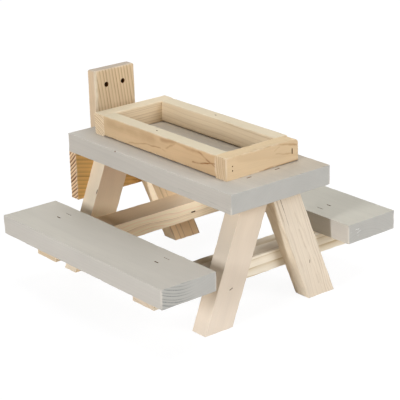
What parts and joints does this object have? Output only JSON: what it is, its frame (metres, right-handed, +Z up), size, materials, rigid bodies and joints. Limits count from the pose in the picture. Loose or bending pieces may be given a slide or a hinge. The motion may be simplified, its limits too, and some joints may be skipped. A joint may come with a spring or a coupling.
{
  "type": "picnic table squirrel feeder",
  "caption": "Wooden squirrel feeder shaped like a small picnic table: framed food tray on the top, a bench along each side, splayed legs and an upright board with screw holes for wall or tree.",
  "frame": {"origin": "on the floor plane under the feet, in the middle of the whole feeder seen from above", "axes": "+X away from the wall along the table, +Y toward the right-hand bench as seen from the open end facing the wall, +Z up"},
  "size_m": [0.2816, 0.303, 0.204],
  "materials": {
    "grey_washed_pine": "thin matt grey stain, grain showing through",
    "bare_pine": "planed, untreated",
    "steel_wire": "dull galvanised wire"
  },
  "bodies": {
    "root": {"table_top": "grey_washed_pine", "bench_left": "grey_washed_pine", "bench_right": "grey_washed_pine", "leg_near_left": "bare_pine", "leg_near_right": "bare_pine", "leg_far_left": "bare_pine", "leg_far_right": "bare_pine", "cross_rail_near": "bare_pine", "cross_rail_far": "bare_pine", "wall_cleat": "bare_pine", "mount_board": "bare_pine", "tray_end_near": "bare_pine", "tray_end_far": "bare_pine", "tray_side_left": "bare_pine", "tray_side_right": "bare_pine", "bench_staples_left": "steel_wire", "bench_staples_right": "steel_wire", "leg_staples": "steel_wire", "rail_staples": "steel_wire", "table_staples": "steel_wire", "tray_corner_staples": "steel_wire", "tray_brads": "steel_wire", "cleat_staples": "steel_wire", "mount_staples_upper": "steel_wire", "mount_staples_lower": "steel_wire"}
  },
  "joints": []
}
